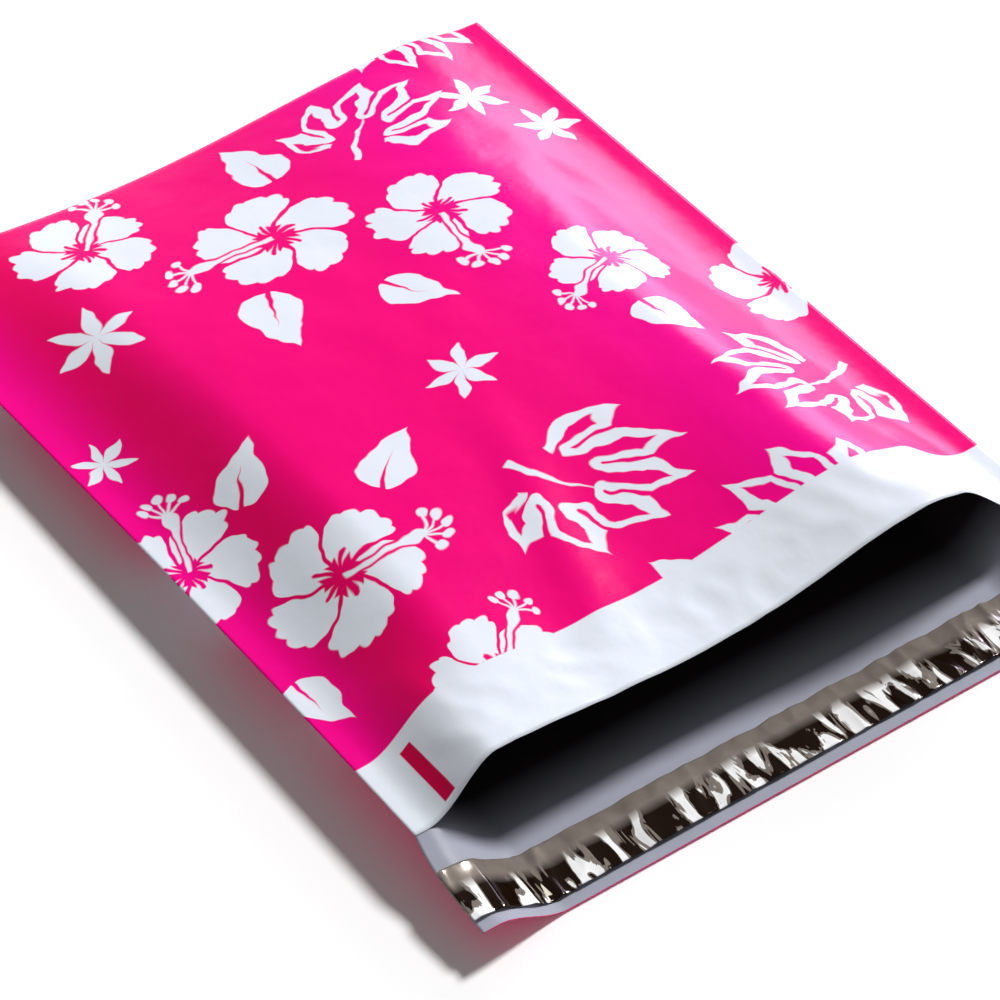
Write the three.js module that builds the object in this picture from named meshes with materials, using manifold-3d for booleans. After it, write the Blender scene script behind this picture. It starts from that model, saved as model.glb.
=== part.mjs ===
// A poly mailer bag, empty and lying face up with its mouth slightly open.
// Millimetres, +Z up. X runs across the bag, Y from the mouth to the bottom fold.
// The origin is on the surface that the bag lies on, at the middle of its footprint.
import * as THREE from "three";
import Module from "manifold-3d";
import { mergeVertices } from "three/addons/utils/BufferGeometryUtils.js";

// The cut sizes of the bag, as measured on it flat
const bagWidth = 254;
const bodyLength = 330;
const flapLength = 40;
const filmThickness = 0.06;
const weldWidth = 5;

// The closure on the flap
const flapMargin = 5.5;
const linerWidth = 21;
const linerThickness = 0.06;
const adhesiveWidth = 16;
const adhesiveThickness = 0.1;
const stripClearance = 0.3;

// The print on the front: an ink coat that stops short of the mouth
const bandWidth = 33;
const inkThickness = 0.06;
const inkClearance = 0.4;
const reachShare = 0.43;
const markWidth = 4.5;
const markLength = 24;
const markToWeld = 9.7;
const markToLip = 3;

// How the empty bag has opened and sagged
const mouthWeldLift = 16;
const flapEdgeLift = 10;
const frontCurl = 30;
const backCurl = 27;
const sideTuck = 5.5;
const mouthCrown = 9.5;
const bodyCrown = 19;
const crownReach = 90;
const leftHumpPlace = -92;
const leftHumpHeight = 5.5;
const rightHumpPlace = 71;
const rightHumpHeight = 12;
const humpHalfWidth = 44;
const humpReach = 110;
const lipRetreat = 2.5;
const foldLift = 10;
const foldTilt = 1.7;
const foldWave = 4.5;
const foldWaveLength = 272;
const foldWaveShift = 38;
const foldReach = 80;

// Mesh density
const columnsEachSide = 14;
const bodyRows = 24;
const inkRows = 14;
const linerRows = 3;
const stripRows = 2;

const halfWidth = bagWidth / 2;
const weldLine = halfWidth - weldWidth;

const smoothStep = (t) => {
  const c = THREE.MathUtils.clamp(t, 0, 1);
  return c * c * (3 - 2 * c);
};
const bell = (x, place, halfSpan) => Math.exp(-(((x - place) / halfSpan) ** 2));

// How far a point across has left the weld: 0 on the weld, 1 past the curled edge.
const spread = (across, curl) => smoothStep((weldLine - Math.abs(across)) / curl);

// The level that both panels share at the welds: the stiff fins carry it clear of the
// surface, it drops to the bottom fold, and along the flap its own edges relax.
const foldLevel = (across) => foldLift - (foldTilt * across) / halfWidth;
function weldLevel(across, along) {
  if (along >= 0) {
    const share = (along / bodyLength) ** 2;
    return THREE.MathUtils.lerp(mouthWeldLift, foldLevel(across), share);
  }
  return THREE.MathUtils.lerp(flapEdgeLift, mouthWeldLift, Math.exp((3 * along) / flapLength));
}

// The bottom fold runs in one slow wave between its corners.
const waveAt = (across) =>
  foldWave * Math.sin((2 * Math.PI * (across - foldWaveShift)) / foldWaveLength);

// The front panel's rise: a broad crown, and two humps at the lip of the mouth.
function frontRise(across, along) {
  const humps = Math.exp(-((along / humpReach) ** 2));
  const broad = THREE.MathUtils.lerp(bodyCrown, mouthCrown, Math.exp(-((along / crownReach) ** 2)));
  const dome = 1 - 0.3 * (1 - humps) * (across / halfWidth) ** 2;
  const left = leftHumpHeight * bell(across, leftHumpPlace, humpHalfWidth);
  const right = rightHumpHeight * bell(across, rightHumpPlace, humpHalfWidth);
  return broad * dome + humps * (left + right);
}

// The welded sides pull in where the bag has opened, and not at all at the fold.
function placeAcross(across, along) {
  const open = along > 0 ? 1 - (along / bodyLength) ** 2 : 0.5 * (1 + Math.exp((3 * along) / flapLength));
  return across - Math.sign(across) * sideTuck * open * (across / halfWidth) ** 2;
}

// The inner face of each panel, as a point for a place across and along the flat film.
function frontInner(across, along) {
  const away = spread(across, frontCurl);
  const closing = (along / bodyLength) ** 3;
  const rise = THREE.MathUtils.lerp(frontRise(across, along), waveAt(across), closing);
  const retreat = lipRetreat * away * (1 - along / bodyLength);
  const height = filmThickness + weldLevel(across, along) + away * rise;
  return new THREE.Vector3(placeAcross(across, along), along + retreat, height);
}

function backInner(across, along) {
  const closing = Math.max(0, 1 - (bodyLength - along) / foldReach) ** 2;
  const away = spread(across, THREE.MathUtils.lerp(backCurl, frontCurl, closing));
  const sag = closing * (foldLevel(across) + waveAt(across));
  const height = filmThickness + THREE.MathUtils.lerp(weldLevel(across, along), sag, away);
  return new THREE.Vector3(placeAcross(across, along), along, height);
}

// A panel's upward normal, from two short steps over its face.
function normalOf(panel, across, along) {
  const step = 0.05;
  const overX = panel(across + step, along).sub(panel(across - step, along));
  const overY = panel(across, along + step).sub(panel(across, along - step));
  return overX.cross(overY).normalize();
}

const offset = (panel, across, along, distance) =>
  panel(across, along).addScaledVector(normalOf(panel, across, along), distance);

// Places across the film, closest together over the curled edges.
const sidePlaces = Array.from({ length: columnsEachSide }, (_, k) => {
  const t = (k + 1) / columnsEachSide;
  return weldLine * THREE.MathUtils.lerp(t, Math.sin((Math.PI / 2) * t), 0.6);
});
const columns = [
  -halfWidth,
  ...sidePlaces.map((x) => -x).reverse(),
  0,
  ...sidePlaces,
  halfWidth,
];

// Places along the film: the flap with the edges of its strips, then the body up to the fold.
const linerStart = -flapLength + flapMargin;
const linerEnd = linerStart + linerWidth;
const linerPlaces = Array.from({ length: linerRows + 1 }, (_, k) =>
  THREE.MathUtils.lerp(linerStart, linerEnd, k / linerRows),
);
const flapPlaces = [-flapLength, ...linerPlaces, linerEnd / 2];
const bodyPlaces = Array.from({ length: bodyRows + 1 }, (_, k) => {
  const t = k / bodyRows;
  return bodyLength * (t - 0.1 * Math.sin(2 * Math.PI * t));
});

// Places along the layers on the film, which need fewer rows than the film itself.
const layerPlaces = (start, end, rows) =>
  Array.from({ length: rows + 1 }, (_, k) => {
    const t = k / rows;
    return THREE.MathUtils.lerp(start, end, t - 0.05 * Math.sin(2 * Math.PI * t));
  });
const adhesiveStart = linerStart + (linerWidth - adhesiveWidth) / 2;
const adhesivePlaces = layerPlaces(adhesiveStart, adhesiveStart + adhesiveWidth, stripRows);
const releasePlaces = layerPlaces(linerStart, linerEnd, stripRows);
const printPlaces = layerPlaces(bandWidth, bodyLength, inkRows);

// A growing list of corners and triangles, which becomes one closed geometry.
class Shell {
  constructor() {
    this.corners = [];
    this.triangles = [];
  }
  corner(point) {
    this.corners.push(point.x, point.y, point.z);
    return this.corners.length / 3 - 1;
  }
  triangle(a, b, c) {
    this.triangles.push(a, b, c);
  }
  // A band of quads between two rows of corners, seen from its outer side left to right.
  band(lower, upper) {
    for (let i = 0; i + 1 < lower.length; i += 1) {
      this.triangle(lower[i], lower[i + 1], upper[i + 1]);
      this.triangle(lower[i], upper[i + 1], upper[i]);
    }
  }
  // The same quads seen from below, split along the same diagonals, so that the two
  // faces of a thin wall stay a film's thickness apart.
  underside(lower, upper) {
    for (let i = 0; i + 1 < lower.length; i += 1) {
      this.triangle(lower[i], upper[i + 1], lower[i + 1]);
      this.triangle(lower[i], upper[i], upper[i + 1]);
    }
  }
  // The cut edges of a stack of rows, bottom to top, between one place along and the next.
  cutEdges(near, far) {
    const last = near[0].length - 1;
    const ends = (stack, i) => stack.map((row) => row[i]);
    this.band(ends(near, 0), ends(far, 0));
    this.band(ends(near, last).reverse(), ends(far, last).reverse());
  }
  geometry() {
    const made = new THREE.BufferGeometry();
    made.setAttribute("position", new THREE.Float32BufferAttribute(this.corners, 3));
    made.setIndex(this.triangles);
    made.computeVertexNormals();
    return made;
  }
}

// The bag: one web of film, folded at the bottom and welded up both sides.
// The front ends at the mouth, and the back runs on as the flap.
function bagGeometry() {
  const shell = new Shell();
  const last = columns.length - 1;
  const row = (make) => columns.map((across, i) => shell.corner(make(across, i)));
  const foldWall = (point, along) => {
    if (along === bodyLength) point.y += filmThickness;
    return point;
  };

  const allPlaces = [...flapPlaces, ...bodyPlaces];
  const mouth = flapPlaces.length;
  const backIn = allPlaces.map((along) => row((x) => backInner(x, along)));
  const backOut = allPlaces.map((along) =>
    row((x) => foldWall(offset(backInner, x, along, -filmThickness), along)),
  );
  const frontOut = bodyPlaces.map((along) =>
    row((x) => foldWall(offset(frontInner, x, along, filmThickness), along)),
  );
  // The front's inner face shares its corners with the back's at both welds and at the fold.
  const frontIn = bodyPlaces.map((along, j) =>
    columns.map((x, i) => {
      const joined = i <= 1 || i >= last - 1 || along === bodyLength;
      return joined ? backIn[mouth + j][i] : shell.corner(frontInner(x, along));
    }),
  );

  const inside = (list) => list.slice(1, last);
  for (let j = 0; j < bodyRows; j += 1) {
    const k = mouth + j;
    shell.band(frontOut[j], frontOut[j + 1]);
    shell.underside(inside(frontIn[j]), inside(frontIn[j + 1]));
    shell.band(inside(backIn[k]), inside(backIn[k + 1]));
    shell.cutEdges([backOut[k], backIn[k], frontOut[j]], [backOut[k + 1], backIn[k + 1], frontOut[j + 1]]);
  }
  for (let k = 0; k < mouth; k += 1) {
    shell.band(backIn[k], backIn[k + 1]);
    shell.cutEdges([backOut[k], backIn[k]], [backOut[k + 1], backIn[k + 1]]);
  }
  for (let k = 0; k + 1 < allPlaces.length; k += 1) shell.underside(backOut[k], backOut[k + 1]);

  shell.band(frontIn[0], frontOut[0]);
  shell.band(backOut[0], backIn[0]);
  const foldBack = backOut[allPlaces.length - 1];
  const foldInner = backIn[allPlaces.length - 1];
  const foldFront = frontOut[bodyRows];
  shell.band(foldFront, foldBack);
  shell.triangle(foldFront[0], foldBack[0], foldInner[0]);
  shell.triangle(foldBack[last], foldFront[last], foldInner[last]);
  return shell.geometry();
}

// A thin layer that follows a panel at a constant height over its inner face.
function layerGeometry(panel, acrossPlaces, alongPlaces, lift, thickness) {
  const shell = new Shell();
  const rows = (distance) =>
    alongPlaces.map((along) =>
      acrossPlaces.map((x) => shell.corner(offset(panel, x, along, distance))),
    );
  const low = rows(lift);
  const high = rows(lift + thickness);
  const end = alongPlaces.length - 1;
  for (let k = 0; k < end; k += 1) {
    shell.band(high[k], high[k + 1]);
    shell.underside(low[k], low[k + 1]);
    shell.cutEdges([low[k], high[k]], [low[k + 1], high[k + 1]]);
  }
  shell.band(low[0], high[0]);
  shell.band(high[end], low[end]);
  return shell.geometry();
}

const adhesiveLift = stripClearance;
const linerLift = adhesiveLift + adhesiveThickness + stripClearance;
const inkLift = filmThickness + inkClearance;

// Outlines of the white shapes: flat, round their own middle, one unit in radius.
const polar = (turns, radius) => {
  const angle = 2 * Math.PI * turns;
  return new THREE.Vector2(radius * Math.cos(angle), radius * Math.sin(angle));
};
// A flower repeats one petal, given by how far round it and how far out each point lies.
const flower = (petalCount, petal) =>
  Array.from({ length: petalCount }, (_, k) =>
    petal.map(([round, out]) => polar((k + round) / petalCount, out)),
  ).flat();
const mirrored = (half) => [
  ...half.map(([x, y]) => new THREE.Vector2(x, y)),
  ...half.toReversed().map(([x, y]) => new THREE.Vector2(x, -y)),
];

const hibiscus = flower(5, [
  [-0.5, 0.3],
  [-0.42, 0.86],
  [-0.2, 1],
  [0.02, 0.95],
  [0.24, 1.01],
  [0.43, 0.82],
]);
const starFlower = flower(6, [
  [-0.5, 0.2],
  [-0.22, 0.6],
  [0, 1],
  [0.22, 0.6],
]);
const stamen = mirrored([
  [1.6, 0.06],
  [1.52, 0.17],
  [1.32, 0.2],
  [1.18, 0.08],
  [0.9, 0.05],
]);
const slitLeaf = mirrored([
  [1, 0.02],
  [0.55, 0.3],
  [0.1, 0.56],
  [-0.45, 0.6],
  [-0.85, 0.33],
  [-0.95, 0.1],
  [-0.05, 0.02],
]);
const midrib = mirrored([
  [0.55, 0.03],
  [-0.1, 0.06],
  [-0.75, 0.04],
]);
// The open leaf is a line round seven points, left open at its stalk.
const leafPoints = 7;
const stepsPerPoint = 2;
const leafLine = (share) =>
  Array.from({ length: (leafPoints - 1) * stepsPerPoint + 1 }, (_, k) => {
    const turns = (k / stepsPerPoint - (leafPoints - 1) / 2) / leafPoints;
    const notch = Math.abs(Math.sin(Math.PI * leafPoints * turns)) ** 0.8;
    return polar(turns, share * (1 - 0.42 * notch));
  });
const openLeaf = [...leafLine(1), ...leafLine(0.8).reverse()];

// Where each white shape lies on the flat front. Across is a share of half the bag's width,
// along a share of the printed length from the bare band to the fold, radius a share of the
// print's reach, and the turn is in degrees.
const whiteShapes = [
  [hibiscus, -0.472, 0.889, 0.205, 48],
  [hibiscus, -0.063, 0.751, 0.228, 172],
  [hibiscus, 0.339, 0.653, 0.205, 258],
  [hibiscus, 0.575, 0.455, 0.173, 202],
  [hibiscus, 0.992, 0.37, 0.205, 140],
  [hibiscus, -0.969, 0.35, 0.189, 48],
  [hibiscus, -0.693, 0.199, 0.236, 345],
  [hibiscus, -0.551, -0.01, 0.173, 50],
  [starFlower, -0.677, 0.721, 0.142, 12],
  [starFlower, -0.906, 0.552, 0.087, 25],
  [starFlower, -0.016, 0.387, 0.11, 0],
  [starFlower, 0.74, 0.848, 0.118, 22],
  [starFlower, 0.874, 0.758, 0.102, 45],
  [slitLeaf, 0.087, 0.912, 0.134, 85],
  [slitLeaf, -0.268, 0.599, 0.142, 245],
  [slitLeaf, 0.094, 0.539, 0.11, 295],
  [slitLeaf, 0.551, 0.316, 0.11, 280],
  [slitLeaf, -0.669, 0.411, 0.118, 60],
  [slitLeaf, -0.346, 0.316, 0.126, 60],
  [slitLeaf, -0.937, 0.098, 0.11, 275],
  [slitLeaf, 0.016, -0.017, 0.11, 100],
  [openLeaf, 0.394, 0.859, 0.252, 25],
  [openLeaf, 0, 0.182, 0.268, 325],
  [openLeaf, 0.756, 0.178, 0.26, 215],
  [openLeaf, 0.441, -0.03, 0.228, 345],
  [openLeaf, 0.764, 1.027, 0.213, 55],
];

const wasm = await Module();
wasm.setup();

function solidOf(geometry) {
  const bare = geometry.clone();
  bare.deleteAttribute("normal");
  bare.deleteAttribute("uv");
  const merged = mergeVertices(bare, 1e-4);
  const vertProperties = merged.attributes.position.array;
  const triVerts = new Uint32Array(merged.index.array);
  return new wasm.Manifold(new wasm.Mesh({ numProp: 3, vertProperties, triVerts }));
}

function geometryOf(solid) {
  const mesh = solid.getMesh();
  const made = new THREE.BufferGeometry();
  made.setAttribute("position", new THREE.BufferAttribute(mesh.vertProperties, 3));
  made.setIndex(new THREE.BufferAttribute(mesh.triVerts, 1));
  made.computeVertexNormals();
  return made;
}

const printedLength = bodyLength - bandWidth;
const printReach = Math.min(halfWidth, printedLength * reachShare);

// An upright cutter through the front, over a flat outline laid on the bulged panel.
function cutter(outline, acrossShare, alongShare, radiusShare, degrees) {
  const across = halfWidth * acrossShare;
  const along = bandWidth + printedLength * alongShare;
  const radius = printReach * radiusShare;
  const turn = THREE.MathUtils.degToRad(degrees);
  const middle = new THREE.Vector2();
  const points = outline.map((point) => {
    const laid = point.clone().multiplyScalar(radius).rotateAround(middle, turn);
    const onPanel = frontInner(across + laid.x, along + laid.y);
    return new THREE.Vector2(onPanel.x, onPanel.y);
  });
  const depth = 2 * (mouthWeldLift + bodyCrown + rightHumpHeight);
  const prism = new THREE.ExtrudeGeometry(new THREE.Shape(points), { depth, bevelEnabled: false });
  return solidOf(prism);
}

// The ink coat, with the white shapes left out of it.
function inkGeometry() {
  const extras = new Map([
    [hibiscus, stamen],
    [openLeaf, midrib],
  ]);
  let ink = solidOf(layerGeometry(frontInner, columns, printPlaces, inkLift, inkThickness));
  for (const [outline, ...place] of whiteShapes) {
    ink = ink.subtract(cutter(outline, ...place));
    if (extras.has(outline)) ink = ink.subtract(cutter(extras.get(outline), ...place));
  }
  return geometryOf(ink);
}

// The printer's register mark, a small bar of ink on the bare band.
const markEdge = markToWeld - weldLine;
const markColumns = [markEdge, markEdge + markWidth];
const markRows = [markToLip, markToLip + markLength / 2, markToLip + markLength];

// Places along the film count from the mouth, and the origin is at the footprint's middle.
const mailer = new THREE.Group();
mailer.position.y = -(bodyLength + filmThickness - flapLength) / 2;
function add(name, geometry, color, roughness, metalness) {
  const material = new THREE.MeshStandardMaterial({ color, roughness, metalness });
  const mesh = new THREE.Mesh(geometry, material);
  mesh.name = name;
  mailer.add(mesh);
}

add("bag_film", bagGeometry(), 0xeef2f6, 0.3, 0);
add("front_ink", inkGeometry(), 0xf2007a, 0.28, 0);
add(
  "register_mark",
  layerGeometry(frontInner, markColumns, markRows, inkLift, inkThickness),
  0xd4145a,
  0.28,
  0,
);
add(
  "adhesive_strip",
  layerGeometry(backInner, columns, adhesivePlaces, adhesiveLift, adhesiveThickness),
  0xd9d2c0,
  0.5,
  0,
);
add(
  "release_liner",
  layerGeometry(backInner, columns, releasePlaces, linerLift, linerThickness),
  0x7d7468,
  0.12,
  0.4,
);

export default mailer;
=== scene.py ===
import math

import bpy
import numpy as np
from mathutils import Matrix, Vector, noise


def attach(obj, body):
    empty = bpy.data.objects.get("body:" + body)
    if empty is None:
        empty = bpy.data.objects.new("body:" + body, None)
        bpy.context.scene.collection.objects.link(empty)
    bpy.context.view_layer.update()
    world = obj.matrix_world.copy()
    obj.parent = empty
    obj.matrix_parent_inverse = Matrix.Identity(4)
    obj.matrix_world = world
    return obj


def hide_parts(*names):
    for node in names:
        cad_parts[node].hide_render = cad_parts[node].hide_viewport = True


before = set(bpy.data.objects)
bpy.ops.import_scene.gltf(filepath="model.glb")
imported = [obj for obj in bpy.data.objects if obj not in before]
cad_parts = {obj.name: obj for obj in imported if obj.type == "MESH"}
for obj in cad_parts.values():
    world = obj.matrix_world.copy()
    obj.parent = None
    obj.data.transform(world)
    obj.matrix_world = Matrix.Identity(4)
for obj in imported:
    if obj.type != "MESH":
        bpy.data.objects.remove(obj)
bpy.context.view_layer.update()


# The camera stands before the mouth of the bag and a little to its left, about 1.3 m away,
# looking down over it with a long lens.
lens_mm = 146.6
sensor_mm = 36.0
clip_distance = 20.0
camera_yaw = math.radians(32.896)
camera_drop = math.radians(43.348)
camera_roll = math.radians(-2.704)
camera_reach = 1.3255
camera_target = Vector((-0.01473, -0.03515, 0.010))

forward = Vector((
    math.sin(camera_yaw) * math.cos(camera_drop),
    math.cos(camera_yaw) * math.cos(camera_drop),
    -math.sin(camera_drop),
))
level_right = Vector((math.cos(camera_yaw), -math.sin(camera_yaw), 0.0))
level_up = level_right.cross(forward)
right = math.cos(camera_roll) * level_right + math.sin(camera_roll) * level_up
up = math.cos(camera_roll) * level_up - math.sin(camera_roll) * level_right
camera_data = bpy.data.cameras.new("camera")
camera_data.lens = lens_mm
camera_data.sensor_width = sensor_mm
camera_data.clip_end = clip_distance
camera = bpy.data.objects.new("camera", camera_data)
bpy.context.scene.collection.objects.link(camera)
turn = Matrix((right, up, -forward)).transposed()
camera.matrix_world = Matrix.Translation(camera_target - camera_reach * forward) @ turn.to_4x4()
bpy.context.scene.camera = camera


# The bag is one web of co-extruded plastic film, 0.06 mm thick. It is folded once at the bottom
# and welded up both sides. The front ends at the mouth, and the back runs on as the flap.
film_thickness = 0.00006
half_width = 0.127
body_length = 0.330
flap_length = 0.040
weld_width = 0.005
weld_line = half_width - weld_width
web_length = 2 * body_length + flap_length
mouth_shift = -(body_length + film_thickness - flap_length) / 2

# The empty bag has opened a little at its mouth, and its film has sagged and curled.
mouth_weld_lift = 0.016
flap_edge_lift = 0.010
flap_easing = 3
front_curl = 0.030
back_curl = 0.027
side_tuck = 0.0055
mouth_crown = 0.0095
body_crown = 0.019
crown_reach = 0.090
crown_fall = 0.3
left_hump_place = -0.092
left_hump_height = 0.0055
right_hump_place = 0.071
right_hump_height = 0.012
hump_half_width = 0.044
hump_reach = 0.110
lip_retreat = 0.0025
fold_lift = 0.010
fold_tilt = 0.0017
fold_wave = 0.0045
fold_wave_length = 0.272
fold_wave_shift = 0.038
fold_reach = 0.080


def smooth_step(share):
    share = np.clip(share, 0.0, 1.0)
    return share * share * (3 - 2 * share)


def lerp(start, end, share):
    return start + (end - start) * share


def bell(x, place, half_span):
    return np.exp(-(((x - place) / half_span) ** 2))


def spread(across, curl):
    """How far a panel has left the weld: 0 on it, and 1 past the curled edge."""
    return smooth_step((weld_line - np.abs(across)) / curl)


def fold_level(across):
    """The height of the bottom fold, which lies a little lower on the right."""
    return fold_lift - fold_tilt * across / half_width


def wave_at(across):
    """The slow wave in which the bottom fold runs between its corners."""
    return fold_wave * np.sin(2 * math.pi * (across - fold_wave_shift) / fold_wave_length)


def flap_share(along):
    """1 at the mouth, and less and less towards the flap's end."""
    return np.exp(flap_easing * np.minimum(along, 0) / flap_length)


def weld_level(across, along):
    """The level that both panels share at the welds, and that the flap's edges relax to."""
    body = lerp(mouth_weld_lift, fold_level(across), (along / body_length) ** 2)
    flap = lerp(flap_edge_lift, mouth_weld_lift, flap_share(along))
    return np.where(along >= 0, body, flap)


def front_rise(across, along):
    """The front panel's rise: a broad crown, and two humps at the lip of the mouth."""
    humps = np.exp(-((along / hump_reach) ** 2))
    broad = lerp(body_crown, mouth_crown, np.exp(-((along / crown_reach) ** 2)))
    dome = 1 - crown_fall * (1 - humps) * (across / half_width) ** 2
    left = left_hump_height * bell(across, left_hump_place, hump_half_width)
    right_side = right_hump_height * bell(across, right_hump_place, hump_half_width)
    return broad * dome + humps * (left + right_side)


def place_across(across, along):
    """The welded sides pull in where the bag has opened, and not at all at the fold."""
    body = 1 - (np.maximum(along, 0) / body_length) ** 2
    flap = 0.5 * (1 + flap_share(along))
    tucked = side_tuck * np.where(along > 0, body, flap)
    return across - np.sign(across) * tucked * (across / half_width) ** 2


def front_panel(across, along):
    """The front's inner face, for a place across and along the flat film."""
    away = spread(across, front_curl)
    closing = (along / body_length) ** 3
    rise = lerp(front_rise(across, along), wave_at(across), closing)
    retreat = lip_retreat * away * (1 - along / body_length)
    height = film_thickness + weld_level(across, along) + away * rise
    return np.stack([place_across(across, along), along + retreat + mouth_shift, height], -1)


def back_panel(across, along):
    """The back's inner face, and the flap's before the mouth."""
    closing = np.maximum(0, 1 - (body_length - along) / fold_reach) ** 2
    away = spread(across, lerp(back_curl, front_curl, closing))
    sag = closing * (fold_level(across) + wave_at(across))
    height = film_thickness + lerp(weld_level(across, along), sag, away)
    return np.stack([place_across(across, along), along + mouth_shift, height], -1)


def new_grid(name, columns, rows):
    """A flat grid with this many vertices across and along, as the active object."""
    bpy.ops.object.select_all(action="DESELECT")
    bpy.ops.mesh.primitive_grid_add(x_subdivisions=columns - 1, y_subdivisions=rows - 1, size=1)
    piece = bpy.context.active_object
    piece.name = name
    piece.data.name = name
    return piece


def lay_grid(piece, across, along, points, flat_scale):
    """Move a grid's vertices to their places, and map its faces by the flat film."""
    mesh = piece.data
    count = len(mesh.vertices)
    flat = np.empty(count * 3)
    mesh.vertices.foreach_get("co", flat)
    flat = flat.reshape(-1, 3)
    column = np.rint((flat[:, 0] + 0.5) * (len(across) - 1)).astype(int)
    row = np.rint((flat[:, 1] + 0.5) * (len(along) - 1)).astype(int)
    mesh.vertices.foreach_set("co", points[row, column].ravel())
    corners = np.empty(len(mesh.loops), dtype=int)
    mesh.loops.foreach_get("vertex_index", corners)
    layer = mesh.uv_layers[0]
    layer.name = "film"
    placed = np.stack([across[column[corners]] + half_width, along[row[corners]]], -1) / flat_scale
    layer.data.foreach_set("uv", placed.ravel())
    mesh.update()


def give_wall(piece, thickness, inner_material=0):
    """Give a laid grid its film's thickness, and shade it smooth."""
    wall = piece.modifiers.new("wall", "SOLIDIFY")
    wall.thickness = thickness
    wall.offset = 1.0
    wall.material_offset = inner_material
    bpy.ops.object.select_all(action="DESELECT")
    bpy.context.view_layer.objects.active = piece
    piece.select_set(True)
    bpy.ops.object.modifier_apply(modifier=wall.name)
    for face in piece.data.polygons:
        face.use_smooth = True


# The web's rows run from the front's mouth over the fold to the flap's end. Its columns lie
# closest together over the curled sides.
bag_columns = 141
web_rows = 320
side_crowding = 0.45
lip_length = 0.0015
lip_rows = 8
lip_turn = 1.4
even_places = np.linspace(-1, 1, bag_columns)
bag_across = half_width * lerp(even_places, np.sin(math.pi / 2 * even_places), side_crowding)
lip_start = web_length - lip_length
web_along = np.concatenate([
    np.linspace(0, lip_start, web_rows),
    np.linspace(lip_start, web_length, lip_rows + 1)[1:],
])
grid_across, grid_web = np.meshgrid(bag_across, web_along)
on_front = grid_web <= body_length
along_front = np.clip(grid_web, 0, body_length)
along_back = np.minimum(2 * body_length - grid_web, body_length)
web_points = np.where(
    on_front[..., None],
    front_panel(grid_across, along_front),
    back_panel(grid_across, along_back),
)

# Handling has left a soft slanting ridge up the front, and slow ripples that are looser on the
# right. Both die out at the welds and at the fold.
ridge_height = 0.0016
ridge_half_width = 0.009
ridge_foot = (-0.028, 0.037)
ridge_slant = 0.25
ridge_middle = 0.062
ridge_reach = 0.058
ripple_height = 0.0006
ripples_across = 26
ripples_along = 15
fine_ripples = 2.7
fine_ripple_share = 0.4
looser_from = 0.055
looser_over = 0.04
looser_gain = 1.6
fold_calm = 0.03


def film_ripple(across, web):
    point = Vector((across * ripples_across, web * ripples_along, 0.5))
    return noise.noise(point) + fine_ripple_share * noise.noise(point * fine_ripples)


ridge_line = ridge_foot[0] + ridge_slant * (along_front - ridge_foot[1])
ridge = ridge_height * bell(grid_across, ridge_line, ridge_half_width)
ridge = ridge * bell(along_front, ridge_middle, ridge_reach)
ripples = np.array([[film_ripple(x, y) for x in bag_across] for y in web_along])
steep = spread(grid_across, front_curl)
loose = steep * smooth_step((body_length - along_front) / fold_calm)
looser = 1 + looser_gain * smooth_step((grid_across - looser_from) / looser_over)
web_points[..., 2] += on_front * loose * (ridge + ripple_height * looser * ripples)

# Away from the mouth both sides slope down to their welds more gently than at it.
right_curl = 0.058
left_curl = 0.052
mouth_hold = 0.07
gentle = spread(grid_across, lerp(left_curl, right_curl, grid_across > 0))
eased = smooth_step(along_front / mouth_hold) * (gentle - steep)
still_open = 1 - (along_front / body_length) ** 3
web_points[..., 2] += on_front * eased * front_rise(grid_across, along_front) * still_open

# The bare band at the mouth is crinkled where it has been opened and closed.
crinkle_height = 0.0004
crinkle_sharpness = 2.4
crinkle_middle = 0.016
crinkle_reach = 0.020


def film_crinkle(across, web):
    point = Vector((across * 75 + web * 30, web * 60 - across * 22, 4.0))
    return 1.0 - crinkle_sharpness * abs(noise.noise(point))


crinkles = np.array([[film_crinkle(x, y) for x in bag_across] for y in web_along])
crinkled = steep * bell(along_front, crinkle_middle, crinkle_reach)
web_points[..., 2] += on_front * crinkled * crinkle_height * crinkles

# The flap's end is turned up in a narrow lip, as a cut edge is that has been pulled off a roll.
lip_radius = lip_length / lip_turn
into_lip = np.maximum(0, grid_web - lip_start)
web_points[..., 1] += into_lip - lip_radius * np.sin(into_lip / lip_radius)
web_points[..., 2] += lip_radius * (1 - np.cos(into_lip / lip_radius))

bag = new_grid("bag", bag_columns, len(web_along))
lay_grid(bag, bag_across, web_along, web_points, web_length)


# The bag's outside is glossy pink print on white film, and its inside is the bare grey layer.
# The white flowers and leaves are where the film shows through the ink.
class Reading:
    """A value that changes over the film, as a socket with arithmetic on it."""

    def __init__(self, tree, socket):
        self.tree = tree
        self.socket = socket

    def math(self, operation, *others, clamp=False):
        node = self.tree.nodes.new("ShaderNodeMath")
        node.operation = operation
        node.use_clamp = clamp
        for slot, value in zip(node.inputs, (self, *others)):
            if isinstance(value, Reading):
                self.tree.links.new(value.socket, slot)
            else:
                slot.default_value = value
        return Reading(self.tree, node.outputs[0])

    def __add__(self, other):
        return self.math("ADD", other)

    def __sub__(self, other):
        return self.math("SUBTRACT", other)

    def __mul__(self, other):
        return self.math("MULTIPLY", other)

    def __rsub__(self, other):
        return (self * -1.0) + other

    __radd__ = __add__
    __rmul__ = __mul__

    def __abs__(self):
        return self.math("ABSOLUTE")

    def __pow__(self, other):
        return self.math("POWER", other)

    def inside(self, sharpness):
        """1 where the value is above 0, with an edge as soft as printed ink."""
        return self.math("MULTIPLY_ADD", sharpness, 0.5, clamp=True)


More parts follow.
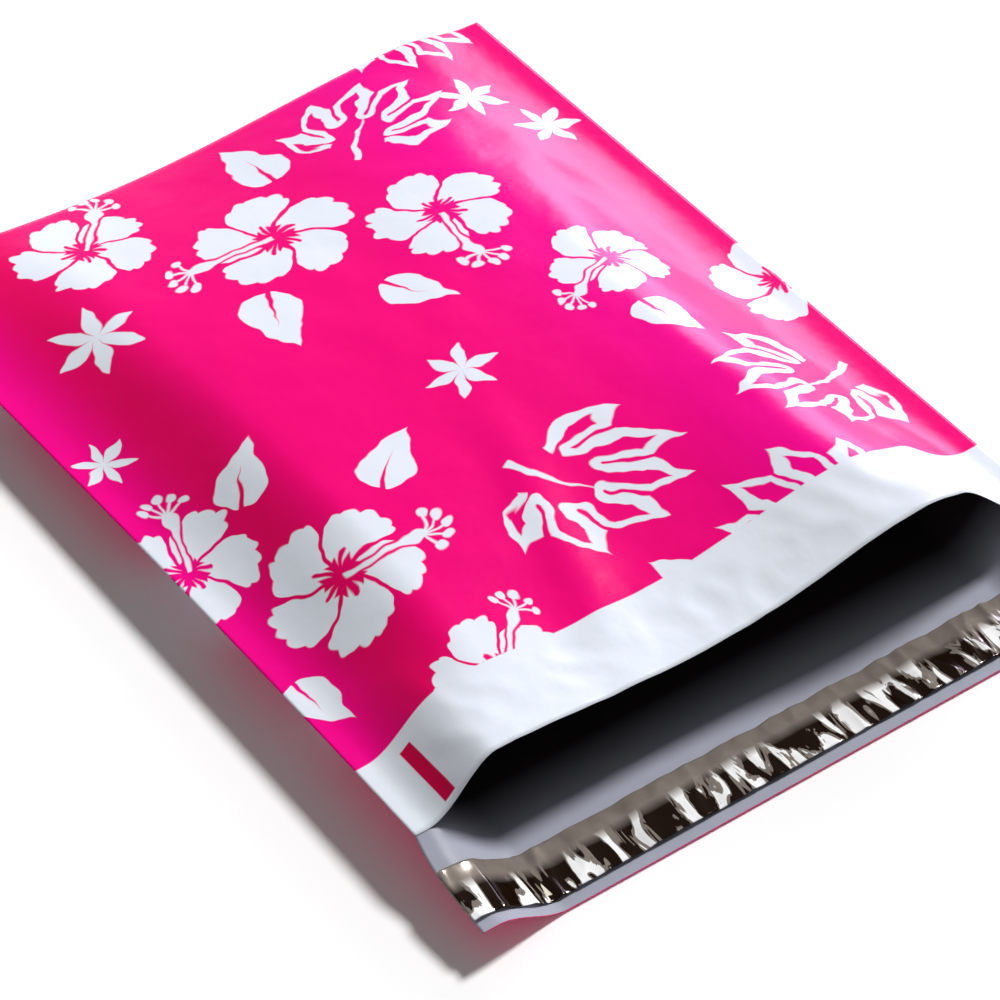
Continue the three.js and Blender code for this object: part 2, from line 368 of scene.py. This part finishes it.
def new_group(name, inputs, outputs):
    """A node group with named sockets, its input node and its output node."""
    group = bpy.data.node_groups.new(name, "ShaderNodeTree")
    for label, kind in inputs:
        group.interface.new_socket(name=label, in_out="INPUT", socket_type=kind)
    for label, kind in outputs:
        group.interface.new_socket(name=label, in_out="OUTPUT", socket_type=kind)
    return group, group.nodes.new("NodeGroupInput"), group.nodes.new("NodeGroupOutput")


def split_vector(tree, socket):
    """A vector's first two parts, as readings."""
    node = tree.nodes.new("ShaderNodeSeparateXYZ")
    tree.links.new(socket, node.inputs[0])
    return Reading(tree, node.outputs[0]), Reading(tree, node.outputs[1])


def new_noise(tree, source, scale, detail=2.0, distortion=0.0):
    """A noise texture on these coordinates."""
    texture = tree.nodes.new("ShaderNodeTexNoise")
    texture.inputs["Scale"].default_value = scale
    texture.inputs["Detail"].default_value = detail
    texture.inputs["Distortion"].default_value = distortion
    tree.links.new(source, texture.inputs["Vector"])
    return texture


VECTOR = "NodeSocketVector"
FLOAT = "NodeSocketFloat"


# Each flower or leaf is drawn in a frame of its own, one unit in radius.
def hibiscus_group():
    """Five ruffled petals round a rayed throat, with a long pistil that ends in a tuft."""
    ink_edge = 44.0
    petal_reach = 0.94
    petal_gap = 0.027
    ruffles = 12.5
    ruffle_depth = 0.06
    throat_radius = 0.13
    ray_half = 0.035
    ray_spacing = 0.21
    group, start, end = new_group("hibiscus", [("Place", VECTOR)], [("White", FLOAT)])
    x, y = split_vector(group, start.outputs["Place"])
    radius = (x * x + y * y).math("SQRT")
    angle = y.math("ARCTAN2", x) + radius * 0.5
    petal = math.pi / 5
    off_middle = angle.math("WRAP", petal, -petal)
    side = abs(off_middle) * (1 / petal)
    ruffle = abs((off_middle * ruffles).math("COSINE")) * ruffle_depth
    reach = petal_reach - (side ** 4.0) * 0.40 + ruffle
    petals = (reach - radius).inside(ink_edge)
    gap = ((1.0 - side) * radius * petal - petal_gap).inside(ink_edge * 1.5)
    off_ray = abs(radius * off_middle.math("WRAP", ray_spacing, -ray_spacing).math("SINE"))
    ray_end = 0.36 - abs(off_middle) * 0.22
    rays = (ray_half - off_ray).inside(ink_edge) * (ray_end - radius).inside(ink_edge)
    throat = (1.0 - rays) * (radius - throat_radius).inside(ink_edge)
    flower = petals * gap * throat

    # The pistil swells near its end, and a thin line of ink parts it from the petals.
    pistil_half = 0.038
    pistil_end = 1.16
    pistil_gap = 0.042
    bend = y - x * x * 0.10 + 0.02
    off_line = abs(bend)
    swell = (((x - 0.98) * 7.0).math("MULTIPLY", (x - 0.98) * -7.0)).math("EXPONENT")
    half = swell * 0.07 + pistil_half
    before_end = (pistil_end - x).inside(ink_edge)
    tube = (half - off_line).inside(ink_edge) * before_end * (x - 0.03).inside(ink_edge)
    outline = (half + pistil_gap - off_line).inside(ink_edge) * before_end * x.inside(ink_edge)

    # The tuft is a fan of thin threads from the pistil's end, each with a dot on it.
    thread_start = 1.1
    thread_length = 0.33
    thread_half = 0.018
    thread_spacing = 0.29
    dot_radius = 0.072
    fan_half = 1.4
    from_start = x - thread_start
    reach_out = (from_start * from_start + bend * bend).math("SQRT")
    fan = bend.math("ARCTAN2", from_start)
    thread = fan.math("WRAP", thread_spacing, -thread_spacing)
    past_dot = reach_out * thread.math("COSINE") - thread_length
    off_thread = abs(reach_out * thread.math("SINE"))
    from_dot = (past_dot * past_dot + off_thread * off_thread).math("SQRT")
    dot = (dot_radius - from_dot).inside(ink_edge)
    stalk = (thread_half - off_thread).inside(ink_edge)
    stalk = stalk * (thread_length - reach_out).inside(ink_edge)
    tuft = dot.math("MAXIMUM", stalk) * (fan_half - abs(fan)).inside(ink_edge)
    white = (flower * (1.0 - outline)).math("MAXIMUM", tube).math("MAXIMUM", tuft)
    group.links.new(white.socket, end.inputs["White"])
    return group


def star_flower_group():
    """Six narrow petals that meet at the middle."""
    ink_edge = 30.0
    petal_half = 0.17
    middle_radius = 0.10
    group, start, end = new_group("star_flower", [("Place", VECTOR)], [("White", FLOAT)])
    x, y = split_vector(group, start.outputs["Place"])
    radius = (x * x + y * y).math("SQRT")
    petal = math.pi / 6
    off_middle = y.math("ARCTAN2", x).math("WRAP", petal, -petal)
    out = radius * off_middle.math("COSINE")
    aside = abs(radius * off_middle.math("SINE"))
    share = out.math("MINIMUM", 1.0).math("MAXIMUM", 0.0)
    half = (share * math.pi).math("SINE") * petal_half
    petals = (half + 0.008 - aside).inside(ink_edge) * (1.0 - out).inside(ink_edge)
    middle = (middle_radius - radius).inside(ink_edge)
    group.links.new(petals.math("MAXIMUM", middle).socket, end.inputs["White"])
    return group


def slit_leaf_group():
    """A broad leaf with a drawn-out tip and a slit from its base."""
    ink_edge = 30.0
    fullness = 1.82
    rib_bend = 0.42
    slit_half = 0.075
    group, start, end = new_group("slit_leaf", [("Place", VECTOR)], [("White", FLOAT)])
    x, y = split_vector(group, start.outputs["Place"])
    share = ((x + 1.0) * 0.5).math("MINIMUM", 1.0).math("MAXIMUM", 0.0)
    off_rib = abs(y - share * share * share * rib_bend + 0.10)
    half = (share ** 0.5) * ((1.0 - share) ** 1.25) * fullness
    blade = (half - 0.03 - off_rib).inside(ink_edge)
    slit = (slit_half - share * 0.14 - off_rib).inside(ink_edge)
    group.links.new((blade * (1.0 - slit)).socket, end.inputs["White"])
    return group


def open_leaf_group():
    """A leaf drawn as a line: six pointed lobes parted by long slits, and a curved midrib."""
    ink_edge = 64.0
    half_lobe = 0.36
    lobe_end = 1.04
    tip_angle = math.radians(38)
    last_lobe = 2.17
    slit_start = 0.36
    slit_half = 0.008
    slit_widening = 0.03
    line_half = 0.042
    line_swell = 0.046
    stalk_radius = 0.22
    rib_half = 0.058
    group, start, end = new_group("open_leaf", [("Place", VECTOR)], [("White", FLOAT)])
    x, y = split_vector(group, start.outputs["Place"])
    bent = y - x * x * 0.16 + 0.04
    radius = (x * x + bent * bent).math("SQRT")
    around = bent.math("ARCTAN2", x)
    turned = around + around.math("SINE") * radius * radius * 0.46
    off_lobe = (turned - half_lobe).math("WRAP", half_lobe, -half_lobe)
    length = (around - 0.2).math("COSINE") * 0.22 + 0.90
    scaled = radius.math("DIVIDE", length)
    out = off_lobe.math("COSINE") * scaled
    aside = abs(off_lobe.math("SINE") * scaled)
    lobe = ((out - lobe_end) * math.sin(tip_angle) + aside * math.cos(tip_angle)) * length
    to_slit = half_lobe - abs(off_lobe)
    past_slit = radius * to_slit.math("SINE")
    down_slit = radius * to_slit.math("COSINE")
    ahead = around.math("COSINE").math("MAXIMUM", 0.0)
    before_slit = (ahead * 0.14 + slit_start - down_slit).math("MAXIMUM", 0.0)
    from_slit = (before_slit * before_slit + past_slit * past_slit).math("SQRT")
    slit = from_slit - down_slit * slit_widening - slit_half
    outline = lobe.math("MAXIMUM", slit * -1.0)
    one_side = off_lobe.math("MULTIPLY_ADD", 3.0, 0.5, clamp=True)
    swell = (1.0 - abs(out - 0.66) * 3.0).math("MAXIMUM", 0.0) * one_side
    tapered = (last_lobe - abs(turned)).math("MULTIPLY", 4.0, clamp=True)
    weight = (swell * line_swell + line_half) * tapered
    line = (weight - abs(outline + weight)).inside(ink_edge)
    line = line * (radius - stalk_radius).inside(ink_edge)
    line = line * abs(turned).math("LESS_THAN", last_lobe)
    rib_taper = (0.5 - x).math("MULTIPLY", 0.9, clamp=True) * rib_half
    rib = (rib_taper - abs(bent + 0.02)).inside(ink_edge)
    rib = rib * (0.46 - x).inside(ink_edge) * (x + 0.42).inside(ink_edge)
    group.links.new(line.math("MAXIMUM", rib).socket, end.inputs["White"])
    return group


# Each white shape's place on the flat front: across, along and radius in millimetres, and its
# turn in degrees. One with a radius below 0 is drawn mirrored.
hibiscus_places = [
    (-62, 296, 26, 47), (-8, 255, 29, 172), (43, 227, 26, 258), (73, 168, 22, 202),
    (127, 139, 25, 325), (-121, 136, 25, 66), (-87, 93, 28, 350), (-70, 28, 23, 40),
]
star_places = [
    (-86, 247, 18, 12), (-115, 197, 11, 25), (-2, 148, 14, 0),
    (95, 285, 13.5, 22), (111, 258, 13, 45),
]
slit_places = [
    (11, 304, 17, 85), (-34, 211, 18, 245), (12, 193, 14, 295), (70, 127, 14, 280),
    (-85, 155, -15, 62), (-44, 127, -16, 52), (-119, 62, 14, 275), (2, 28, 14, 100),
]
open_places = [
    (49, 287, -33, 53), (-7, 89, 38, 303), (103, 85, -35, 207),
    (55, 12, 37, 98), (96, 347, 31, 264),
]


def nearest_shape(tree, point, places):
    """The point's place in the nearest of these shapes, turned and scaled to one unit."""
    chosen = None
    nearest = None
    for across, along, radius, degrees in places:
        mapping = tree.nodes.new("ShaderNodeMapping")
        mapping.vector_type = "TEXTURE"
        mapping.inputs["Location"].default_value = (across, along, 0)
        mapping.inputs["Rotation"].default_value = (0, 0, math.radians(degrees))
        mapping.inputs["Scale"].default_value = (abs(radius), radius, 1)
        tree.links.new(point, mapping.inputs["Vector"])
        length = tree.nodes.new("ShaderNodeVectorMath")
        length.operation = "LENGTH"
        tree.links.new(mapping.outputs[0], length.inputs[0])
        away = Reading(tree, length.outputs["Value"])
        if chosen is None:
            chosen, nearest = mapping.outputs[0], away
            continue
        closer = away.math("LESS_THAN", nearest)
        mix = tree.nodes.new("ShaderNodeMix")
        mix.data_type = "VECTOR"
        tree.links.new(closer.socket, mix.inputs[0])
        tree.links.new(chosen, mix.inputs[4])
        tree.links.new(mapping.outputs[0], mix.inputs[5])
        chosen, nearest = mix.outputs[1], away.math("MINIMUM", nearest)
    return chosen


def place_group(tree, group, source):
    """One use of a node group that has a single input."""
    node = tree.nodes.new("ShaderNodeGroup")
    node.node_tree = group
    tree.links.new(source, node.inputs[0])
    return node


def print_group():
    """The print over the whole web, as masks for its white, its mark, a painted shade and a painted
    sheen.
    """
    mm = 1000
    drift_scale = 0.11
    drift_reach = 5.0
    band_width = 32.6
    band_edge = 2.5
    mark_middle = -110.2
    mark_half = 2.2
    mark_start = 2.7
    mark_end = 27.6
    mark_edge = 3.0
    shade_lane = -94.0
    shade_spread = 20.0
    shade_share = 0.75
    sheen_middle = -26.0
    sheen_offset = 92.0
    sheen_spread = 32.0
    masks = [(label, FLOAT) for label in ("White", "Mark", "PaintedShade", "PaintedSheen")]
    group, start, end = new_group("print", [("Film", VECTOR)], masks)

    # The web in millimetres. Past the fold the back repeats the front's places, face down.
    u, v = split_vector(group, start.outputs["Film"])
    web_at = v * (web_length * mm)
    front = (body_length * mm - web_at).math("GREATER_THAN", 0.0)
    facing = front * 2.0 - 1.0
    across = (u * (web_length * mm) - half_width * mm) * facing
    along = body_length * mm - abs(web_at - body_length * mm)
    joined = group.nodes.new("ShaderNodeCombineXYZ")
    group.links.new(across.socket, joined.inputs[0])
    group.links.new(along.socket, joined.inputs[1])

    # The shapes are cut by hand, so their outlines wander a little.
    drift = new_noise(group, joined.outputs[0], drift_scale, detail=1.0)
    wobble = group.nodes.new("ShaderNodeVectorMath")
    wobble.operation = "MULTIPLY_ADD"
    wobble.inputs[1].default_value = (drift_reach, drift_reach, 0.0)
    wobble.inputs[2].default_value = (-drift_reach / 2, -drift_reach / 2, 0.0)
    group.links.new(drift.outputs["Color"], wobble.inputs[0])
    drawn = group.nodes.new("ShaderNodeVectorMath")
    group.links.new(joined.outputs[0], drawn.inputs[0])
    group.links.new(wobble.outputs[0], drawn.inputs[1])

    white = None
    for shape, places in (
        (hibiscus_group(), hibiscus_places),
        (star_flower_group(), star_places),
        (slit_leaf_group(), slit_places),
        (open_leaf_group(), open_places),
    ):
        local = nearest_shape(group, drawn.outputs[0], places)
        found = Reading(group, place_group(group, shape, local).outputs["White"])
        white = found if white is None else white.math("MAXIMUM", found)

    # The bare band at the front's mouth carries only the printer's mark.
    band_end = (across * 0.05).math("SINE") * 0.7 + band_width
    band = (band_end - along).inside(band_edge) * front
    mark_across = (mark_half - abs(across - mark_middle)).inside(mark_edge)
    mark_along = (along - mark_start).inside(mark_edge) * (mark_end - along).inside(mark_edge)
    mark = mark_across * mark_along * front
    white = white.math("MAXIMUM", band) * (1.0 - mark)
    group.links.new(white.socket, end.inputs["White"])
    group.links.new(mark.socket, end.inputs["Mark"])

    # Painted shade: the ink is darkened to crimson in a lane along the left, where the front slopes
    # away from the main lamp. Painted sheen: it turns a bluer pink near the left weld and right of
    # the middle, where the film catches the light.
    off_shade = (across - shade_lane) * (1 / shade_spread)
    ink_shade = (off_shade * off_shade * -1.0).math("EXPONENT") * shade_share
    off_sheen = (abs(across - sheen_middle) - sheen_offset) * (1 / sheen_spread)
    ink_sheen = (off_sheen * off_sheen * -1.0).math("EXPONENT")
    group.links.new(ink_shade.socket, end.inputs["PaintedShade"])
    group.links.new(ink_sheen.socket, end.inputs["PaintedSheen"])
    return group


def new_material(name, color, roughness, gloss=0.5):
    """A material with its node tree and its shader."""
    material = bpy.data.materials.new(name)
    material.use_nodes = True
    shader = material.node_tree.nodes["Principled BSDF"]
    shader.inputs["Base Color"].default_value = (*color, 1)
    shader.inputs["Roughness"].default_value = roughness
    shader.inputs["Specular IOR Level"].default_value = gloss
    return material, material.node_tree, shader


def mix_colors(tree, factor, first, second):
    """The first colour where the factor is 0, and the second where it is 1."""
    mix = tree.nodes.new("ShaderNodeMix")
    mix.data_type = "RGBA"
    tree.links.new(factor.socket, mix.inputs[0])
    for slot, color in ((mix.inputs[6], first), (mix.inputs[7], second)):
        if isinstance(color, bpy.types.NodeSocket):
            tree.links.new(color, slot)
        else:
            slot.default_value = (*color, 1)
    return mix.outputs[2]


def film_surface_group():
    """What the rolling and handling of thin film leave in it: faint ripples and a fine grain."""
    ripple_scale = 45.0
    grain_scale = 400.0
    grain_share = 0.06
    group, start, end = new_group(
        "film_surface", [("Point", VECTOR)], [("Height", FLOAT), ("Haze", FLOAT)]
    )
    ripple = new_noise(group, start.outputs["Point"], ripple_scale, detail=3.0)
    grain = new_noise(group, start.outputs["Point"], grain_scale)
    grain_height = Reading(group, grain.outputs["Fac"]) * grain_share
    height = Reading(group, ripple.outputs["Fac"]) + grain_height
    group.links.new(height.socket, end.inputs["Height"])
    group.links.new(grain.outputs["Fac"], end.inputs["Haze"])
    return group


film_surface = film_surface_group()


def object_point(tree):
    """Object coordinates, as a socket."""
    return tree.nodes.new("ShaderNodeTexCoord").outputs["Object"]


def flat_point(tree):
    """The place on the flat film, as a socket."""
    film_map = tree.nodes.new("ShaderNodeUVMap")
    film_map.uv_map = "film"
    return film_map.outputs[0]


def dress_film(tree, shader, depth, roughness, haze):
    """Give a film material its ripples and its uneven gloss."""
    surface = place_group(tree, film_surface, object_point(tree))
    bump = tree.nodes.new("ShaderNodeBump")
    bump.inputs["Distance"].default_value = depth
    tree.links.new(surface.outputs["Height"], bump.inputs["Height"])
    tree.links.new(bump.outputs[0], shader.inputs["Normal"])
    gloss = Reading(tree, surface.outputs["Haze"]) * haze + (roughness - haze / 2)
    tree.links.new(gloss.socket, shader.inputs["Roughness"])


pink_ink = (0.85, 0.0, 0.175)
# A bluer pink, for painted sheen.
painted_sheen_ink = (0.86, 0.0, 0.25)
# A darker crimson, for painted shade.
painted_shade_ink = (0.70, 0.0, 0.065)
mark_ink = (0.62, 0.0, 0.06)
bare_film = (0.74, 0.785, 0.85)
lining = (0.33, 0.34, 0.41)
# A warm black, for the painted shade inside the bag.
shaded_lining = (0.010, 0.0025, 0.003)

outside, tree, shader = new_material("printed_film", pink_ink, roughness=0.25, gloss=0.14)
pattern = place_group(tree, print_group(), flat_point(tree))
# Painted sheen: a bluer pink where the print group's sheen lane lies.
sheen_painted = mix_colors(tree, Reading(tree, pattern.outputs["PaintedSheen"]), pink_ink, painted_sheen_ink)
# Painted shade: a darker crimson where the print group's shade lane lies.
shade_painted = mix_colors(tree, Reading(tree, pattern.outputs["PaintedShade"]), sheen_painted, painted_shade_ink)
inked = mix_colors(tree, Reading(tree, pattern.outputs["Mark"]), shade_painted, mark_ink)
printed = mix_colors(tree, Reading(tree, pattern.outputs["White"]), inked, bare_film)
tree.links.new(printed, shader.inputs["Base Color"])
dress_film(tree, shader, depth=0.0005, roughness=0.24, haze=0.06)

# Painted shade: the lining is painted darker past the mouth's edge and all over the front's inner
# face, where little light gets into the bag.
darkening_start = -2.0
darkening_length = 18.0
inside, tree, shader = new_material("inner_film", lining, roughness=0.48, gloss=0.2)
u, v = split_vector(tree, flat_point(tree))
past_fold = (v * web_length - body_length) * 1000
into_bag = body_length * 1000 - abs(past_fold)
under_front = past_fold.math("LESS_THAN", 0.0) * (flap_length * 1000)
lining_shade = into_bag + under_front - darkening_start
lining_shade = lining_shade.math("MULTIPLY", 1 / darkening_length, clamp=True).math("SMOOTH_MIN", 1.0, 0.3)
tree.links.new(mix_colors(tree, lining_shade, lining, shaded_lining), shader.inputs["Base Color"])
dress_film(tree, shader, depth=0.0006, roughness=0.48, haze=0.08)

bag.data.materials.append(outside)
bag.data.materials.append(inside)
give_wall(bag, film_thickness, inner_material=1)
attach(bag, "root")
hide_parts("bag_film", "front_ink", "register_mark")


# The sealing strip is a band of hot-melt adhesive. It is laid on the flap while it is still
# soft, and stays tacky under its liner.
glue_amber = (0.60, 0.54, 0.41)
glue_cream = (0.72, 0.66, 0.53)
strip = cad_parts["adhesive_strip"]
glue, tree, shader = new_material("adhesive", glue_cream, roughness=0.45)
streaks = new_noise(tree, object_point(tree), 300.0)
glue_color = mix_colors(tree, Reading(tree, streaks.outputs["Fac"]), glue_amber, glue_cream)
tree.links.new(glue_color, shader.inputs["Base Color"])
strip.data.materials.clear()
strip.data.materials.append(glue)


# The release liner is a strip of shiny coated film that covers the adhesive until the bag is
# sealed. It has been crushed into sharp creases that run across it.
liner_margin = 0.0055
liner_start = -flap_length + liner_margin
liner_width = 0.021
liner_lift = 0.00076
liner_thickness = 0.00006
crease_height = 0.0011
crease_seed = 7
liner_columns = 380
liner_rows = 32

liner_across = half_width * np.linspace(-1, 1, liner_columns)
liner_along = np.linspace(liner_start, liner_start + liner_width, liner_rows)
grid_across, grid_along = np.meshgrid(liner_across, liner_along)
near = 0.0001
over_x = back_panel(grid_across + near, grid_along) - back_panel(grid_across - near, grid_along)
over_y = back_panel(grid_across, grid_along + near) - back_panel(grid_across, grid_along - near)
upward = np.cross(over_x, over_y)
upward /= np.linalg.norm(upward, axis=-1, keepdims=True)


def creased(across, along):
    """The height of a crushed strip: folds that run across it, and finer buckles on them."""
    fold_sharpness = 2.2
    fold_share = 0.75
    buckle_share = 0.12
    point = Vector((across * 95, along * 26, 0.0))
    point += noise.noise_vector(point * 1.3) * 0.35
    fold = 1.0 - abs(noise.noise(point)) * fold_sharpness
    buckle = noise.noise(Vector((across * 330, along * 120, 3.0)))
    return fold_share * fold + buckle_share * buckle


noise.seed_set(crease_seed)
creases = np.array([[creased(x, y) for x in liner_across] for y in liner_along])
lift = liner_lift + crease_height * creases
liner_points = back_panel(grid_across, grid_along) + upward * lift[..., None]
liner = new_grid("liner", liner_columns, liner_rows)
lay_grid(liner, liner_across, liner_along, liner_points, web_length)
give_wall(liner, liner_thickness)

# Painted reflections: on the crushed part of the strip, black and bright patches from a stretched
# noise stand for its shiny folds mirroring dark and bright surroundings; it is taupe where it lies
# flat.
dark_taupe = (0.34, 0.28, 0.24)
pale_taupe = (0.46, 0.40, 0.35)
painted_black_glint = (0.02, 0.008, 0.004)
painted_bright_glint = (0.97, 0.97, 0.97)
black_above = 0.50
bright_below = 0.45
glint_edge = 90.0
flat_share = 0.28
smears_across = 165
smears_along = 40
liner_film, tree, shader = new_material("release_film", pale_taupe, roughness=0.12)
strip_point = flat_point(tree)
stretched = tree.nodes.new("ShaderNodeMapping")
stretched.inputs["Scale"].default_value = (
    web_length * smears_across, web_length * smears_along, 1.0
)
tree.links.new(strip_point, stretched.inputs["Vector"])
smears = new_noise(tree, stretched.outputs[0], 1.0, detail=3.0, distortion=0.9)
u, v = split_vector(tree, strip_point)
from_flat_side = (liner_width - (v * web_length - liner_start)) * (1 / liner_width)
crushed = (from_flat_side - flat_share).math("MULTIPLY", 5.0, clamp=True)
smear = Reading(tree, smears.outputs["Fac"])
black = (smear - black_above).inside(glint_edge) * crushed
bright = (bright_below - smear).inside(glint_edge) * crushed
specks = new_noise(tree, object_point(tree), 260.0)
taupe = mix_colors(tree, Reading(tree, specks.outputs["Fac"]), dark_taupe, pale_taupe)
darkened = mix_colors(tree, black, taupe, painted_black_glint)
glinting = mix_colors(tree, bright, darkened, painted_bright_glint)
tree.links.new(glinting, shader.inputs["Base Color"])
tree.links.new((0.55 - bright * 0.5).socket, shader.inputs["Metallic"])
liner.data.materials.append(liner_film)
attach(liner, "root")
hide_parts("release_liner")


# The studio: a white floor that runs to a white horizon under a dim ceiling, a soft main lamp to
# the bag's right and a low, wide softbox behind it.
floor_white = (0.97, 0.97, 0.97)
floor_size = 12
ceiling_level = 0.16
horizon_level = 1.0
horizon_height = 0.10
bpy.ops.object.select_all(action="DESELECT")
bpy.ops.mesh.primitive_plane_add(size=floor_size, location=(0, 0, 0))
floor = bpy.context.active_object
floor.name = "floor"
floor_material, tree, shader = new_material("floor", floor_white, roughness=0.9, gloss=0.1)
floor.data.materials.append(floor_material)

world = bpy.data.worlds.new("surround")
world.use_nodes = True
tree = world.node_tree
sky = tree.nodes.new("ShaderNodeTexCoord")
height = tree.nodes.new("ShaderNodeSeparateXYZ")
tree.links.new(sky.outputs["Generated"], height.inputs[0])
overhead = (Reading(tree, height.outputs[2]) - horizon_height).math("MULTIPLY", 5.0, clamp=True)
strength = overhead * (ceiling_level - horizon_level) + horizon_level
tree.links.new(strength.socket, tree.nodes["Background"].inputs["Strength"])
tree.nodes["Background"].inputs["Color"].default_value = (1, 1, 1, 1)
bpy.context.scene.world = world


def new_lamp(name, kind, toward, reach):
    """A lamp that faces the bag from this direction."""
    lamp = bpy.data.objects.new(name, bpy.data.lights.new(name, kind))
    bpy.context.scene.collection.objects.link(lamp)
    lamp.location = Vector(toward).normalized() * reach
    lamp.rotation_euler = (-lamp.location).to_track_quat("-Z", "Y").to_euler()
    return lamp.data


key = new_lamp("key", "SUN", (0.72, 0.21, 0.70), 5.0)
key.energy = 3.75
key.angle = math.radians(11.0)
back = new_lamp("back", "AREA", (0.76, 0.58, 0.30), 2.2)
back.shape = "RECTANGLE"
back.size = 1.0
back.size_y = 0.9
back.energy = 23
back.color = (0.80, 0.72, 1.0)

bpy.context.scene.view_settings.view_transform = "Standard"
